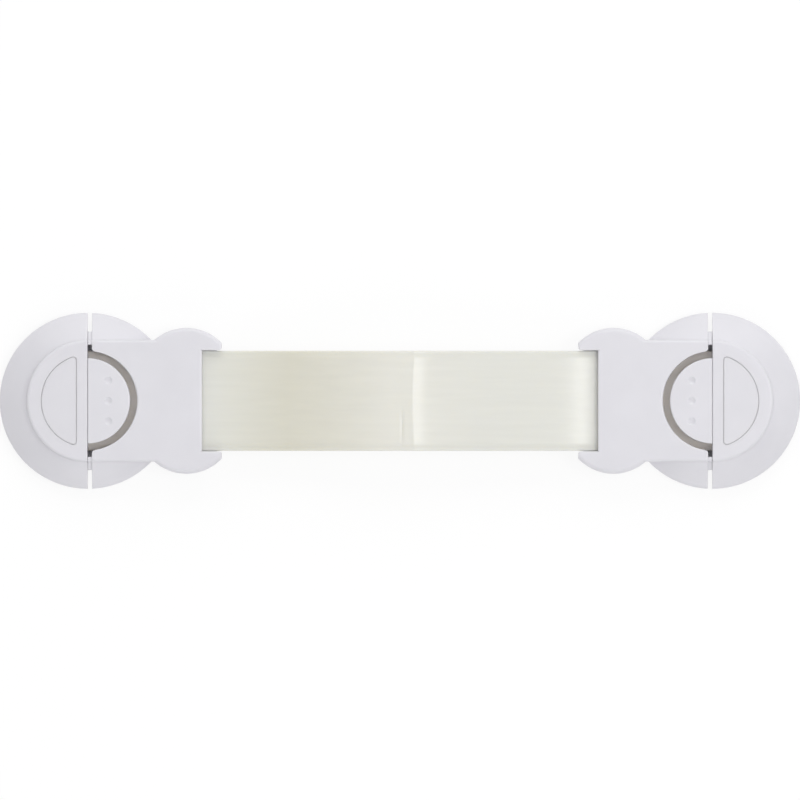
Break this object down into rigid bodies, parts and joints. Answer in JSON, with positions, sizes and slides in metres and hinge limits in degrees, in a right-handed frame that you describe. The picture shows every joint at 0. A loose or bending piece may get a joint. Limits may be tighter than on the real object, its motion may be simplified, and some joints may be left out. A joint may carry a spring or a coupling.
{
  "type": "cabinet safety lock",
  "caption": "Stick-on cabinet safety lock: a flexible strap joins two round ends, each with a press button that frees its buckle.",
  "frame": {"origin": "middle of the lock's outline, on the plane of the two adhesive faces", "axes": "+X along the strap towards the right end, +Y across the strap, +Z out of the face"},
  "size_m": [0.2, 0.044, 0.0128],
  "materials": {
    "white_plastic": "satin moulded white",
    "cream_plastic": "glossy extruded cream",
    "natural_plastic": "natural acetal",
    "foam": "closed-cell adhesive foam",
    "screw_steel": "zinc-plated"
  },
  "bodies": {
    "left_base": {"left_adhesive_pad": "foam", "left_base_plate": "white_plastic", "left_base_screws": "screw_steel", "left_cover": "white_plastic", "left_cover_inlay": "white_plastic", "left_latch_spring": "natural_plastic"},
    "left_button": {"left_release_button": "white_plastic"},
    "left_buckle": {"left_buckle_shell": "white_plastic", "left_buckle_back": "white_plastic", "left_buckle_screws": "screw_steel", "strap_left": "cream_plastic"},
    "right_base": {"right_adhesive_pad": "foam", "right_base_plate": "white_plastic", "right_base_screws": "screw_steel", "right_cover": "white_plastic", "right_cover_inlay": "white_plastic", "right_latch_spring": "natural_plastic"},
    "right_button": {"right_release_button": "white_plastic"},
    "right_buckle": {"right_buckle_shell": "white_plastic", "right_buckle_back": "white_plastic", "right_buckle_screws": "screw_steel", "strap_right": "cream_plastic"}
  },
  "joints": [
    {"name": "left_unclip", "type": "slide", "parent": "left_base", "child": "left_buckle", "axis": [1, 0, 0], "range_m": [0, 0.03], "deforming": ["left_latch_spring"]},
    {"name": "left_press", "type": "hinge", "parent": "left_base", "child": "left_button", "pos_m": [-0.0801, 0, 0.00613], "axis": [0, 1, 0], "range_deg": [0, 8.5], "stiffness_Nm_per_rad": 0.28, "springref_deg": -2.86, "deforming": ["left_latch_spring"]},
    {"name": "strap_flex", "type": "hinge", "parent": "left_buckle", "child": "right_buckle", "pos_m": [0.0032, 0, 0.01218], "axis": [0, 1, 0], "range_deg": [-90, 90], "stiffness_Nm_per_rad": 0.01},
    {"name": "right_unclip", "type": "slide", "parent": "right_buckle", "child": "right_base", "axis": [1, 0, 0], "range_m": [0, 0.03], "deforming": ["right_latch_spring"]},
    {"name": "right_press", "type": "hinge", "parent": "right_base", "child": "right_button", "pos_m": [0.0801, 0, 0.00613], "axis": [0, -1, 0], "range_deg": [0, 8.5], "stiffness_Nm_per_rad": 0.28, "springref_deg": -2.86, "deforming": ["right_latch_spring"]}
  ]
}
